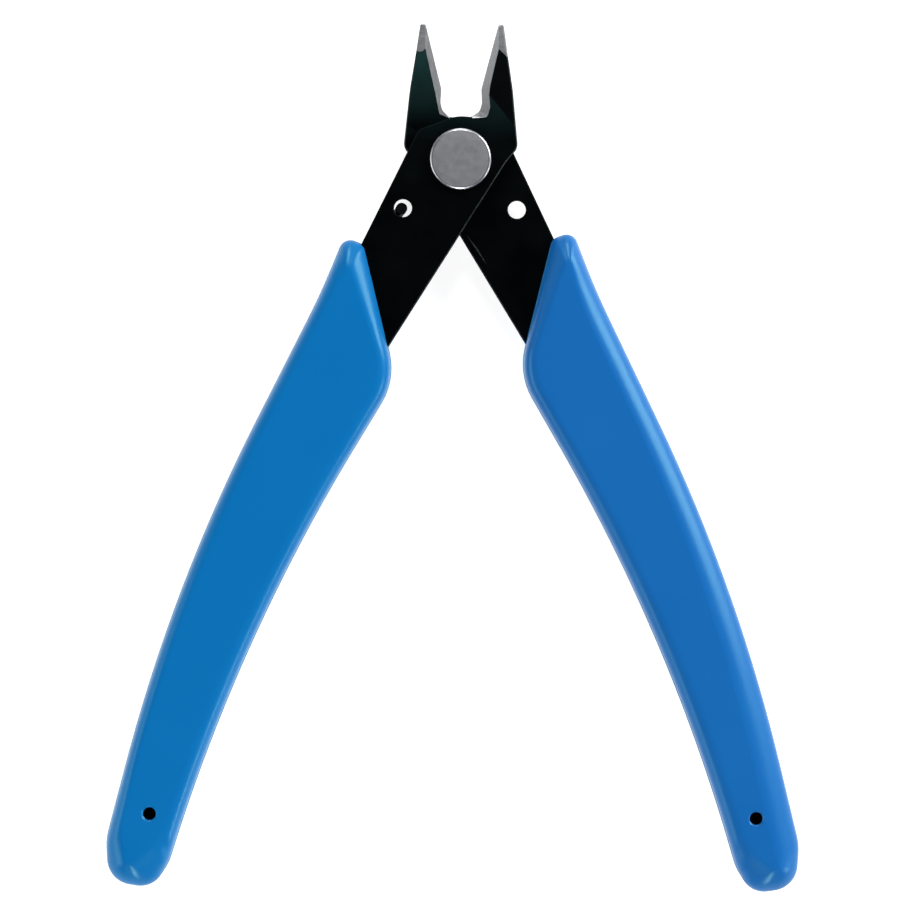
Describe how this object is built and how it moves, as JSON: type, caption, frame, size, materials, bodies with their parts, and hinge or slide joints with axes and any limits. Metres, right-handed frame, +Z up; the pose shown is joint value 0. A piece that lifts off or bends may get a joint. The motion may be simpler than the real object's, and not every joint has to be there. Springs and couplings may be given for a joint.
{
  "type": "flush cutter",
  "caption": "Hand-held flush cutter: bypass plate levers on a flat rivet, fine pointed jaws, a hidden wire return spring and long curved blue moulded grips, shown open.",
  "frame": {"origin": "centre of the open tool's outline, on the surface it lies on, under the grips' flat back faces", "axes": "+Y from the handles to the jaw tips, +Z up through the tool's thickness, +X to the right seen from above"},
  "size_m": [0.0962, 0.1203, 0.0096],
  "materials": {
    "blackened_steel": "black oxide on hardened steel, satin, with bright ground bands along the cutting edges",
    "bright_steel": "fine satin, with a polished chamfer",
    "spring_steel": "drawn music wire, lightly oiled",
    "blue_vinyl": "smooth semi-gloss vinyl"
  },
  "bodies": {
    "front_half": {"front_lever": "blackened_steel", "left_grip": "blue_vinyl", "pivot_rivet": "bright_steel", "return_spring": "spring_steel"},
    "rear_half": {"rear_lever": "blackened_steel", "right_grip": "blue_vinyl"}
  },
  "joints": [
    {"name": "handle_pivot", "type": "hinge", "parent": "front_half", "child": "rear_half", "pos_m": [0, 0.0415, 0.0048], "axis": [0, 0, -1], "range_deg": [0, 32], "stiffness_Nm_per_rad": 0.4, "deforming": ["return_spring"]}
  ]
}
